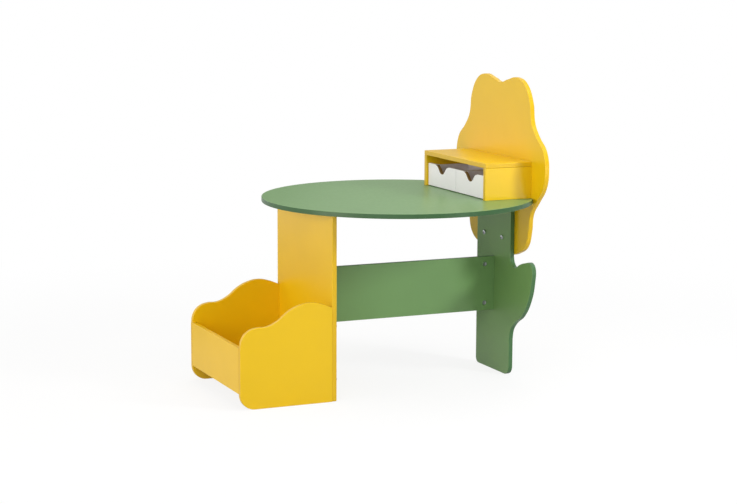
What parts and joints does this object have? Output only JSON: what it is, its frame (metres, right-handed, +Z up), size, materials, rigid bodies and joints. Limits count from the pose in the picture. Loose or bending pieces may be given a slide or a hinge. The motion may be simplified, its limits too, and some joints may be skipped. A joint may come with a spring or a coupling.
{
  "type": "activity table",
  "caption": "Low play table in painted board: round top, legs cut as a toy bin and a leaf, petal backboard and a small shelf with pull-out drawers.",
  "frame": {"origin": "on the floor, under the middle of the table's overall box", "axes": "+X from the toy bin to the backboard, +Z up, the leaf on the stem leg points to -Y"},
  "size_m": [0.8063, 0.6996, 0.783],
  "materials": {
    "yellow_paint": "satin yellow paint on fibreboard",
    "green_paint": "satin green paint on fibreboard",
    "white_paint": "satin white paint on fibreboard",
    "drawer_base": "thin hardboard",
    "zinc_steel": "zinc plated"
  },
  "bodies": {
    "table": {"backboard": "yellow_paint", "backboard_bolt_1": "zinc_steel", "backboard_bolt_2": "zinc_steel", "backboard_insert_nut_1": "zinc_steel", "backboard_insert_nut_2": "zinc_steel", "bin_bottom_panel": "yellow_paint", "bin_cam_bolt_1": "zinc_steel", "bin_cam_bolt_2": "zinc_steel", "bin_cam_bolt_3": "zinc_steel", "bin_cam_bolt_4": "zinc_steel", "bin_cam_lock_1": "zinc_steel", "bin_cam_lock_2": "zinc_steel", "bin_cam_lock_3": "zinc_steel", "bin_cam_lock_4": "zinc_steel", "bin_front_panel": "yellow_paint", "bin_leg_panel": "yellow_paint", "bin_side_far": "yellow_paint", "bin_side_near": "yellow_paint", "bin_side_screw_1": "zinc_steel", "bin_side_screw_2": "zinc_steel", "bin_side_screw_3": "zinc_steel", "bin_side_screw_4": "zinc_steel", "shelf_back_screw_1": "zinc_steel", "shelf_back_screw_2": "zinc_steel", "shelf_back_screw_3": "zinc_steel", "shelf_back_screw_4": "zinc_steel", "shelf_foot_screw_1": "zinc_steel", "shelf_foot_screw_2": "zinc_steel", "shelf_side_far": "yellow_paint", "shelf_side_near": "yellow_paint", "shelf_top_panel": "yellow_paint", "stem_leg_panel": "green_paint", "stretcher_cam_bolt_1": "zinc_steel", "stretcher_cam_bolt_2": "zinc_steel", "stretcher_cam_bolt_3": "zinc_steel", "stretcher_cam_bolt_4": "zinc_steel", "stretcher_cam_lock_1": "zinc_steel", "stretcher_cam_lock_2": "zinc_steel", "stretcher_cam_lock_3": "zinc_steel", "stretcher_cam_lock_4": "zinc_steel", "stretcher_rail": "green_paint", "tabletop": "green_paint", "tabletop_cam_bolt_1": "zinc_steel", "tabletop_cam_bolt_2": "zinc_steel", "tabletop_cam_bolt_3": "zinc_steel", "tabletop_cam_bolt_4": "zinc_steel", "tabletop_cam_lock_1": "zinc_steel", "tabletop_cam_lock_2": "zinc_steel", "tabletop_cam_lock_3": "zinc_steel", "tabletop_cam_lock_4": "zinc_steel"},
    "drawer_near": {"drawer_near_back": "white_paint", "drawer_near_base": "drawer_base", "drawer_near_front": "white_paint", "drawer_near_left_side": "white_paint", "drawer_near_right_side": "white_paint"},
    "drawer_far": {"drawer_far_back": "white_paint", "drawer_far_base": "drawer_base", "drawer_far_front": "white_paint", "drawer_far_left_side": "white_paint", "drawer_far_right_side": "white_paint"}
  },
  "joints": [
    {"name": "drawer_near_slide", "type": "slide", "parent": "table", "child": "drawer_near", "axis": [-1, 0, 0], "range_m": [0, 0.13]},
    {"name": "drawer_far_slide", "type": "slide", "parent": "table", "child": "drawer_far", "axis": [-1, 0, 0], "range_m": [0, 0.13]}
  ]
}
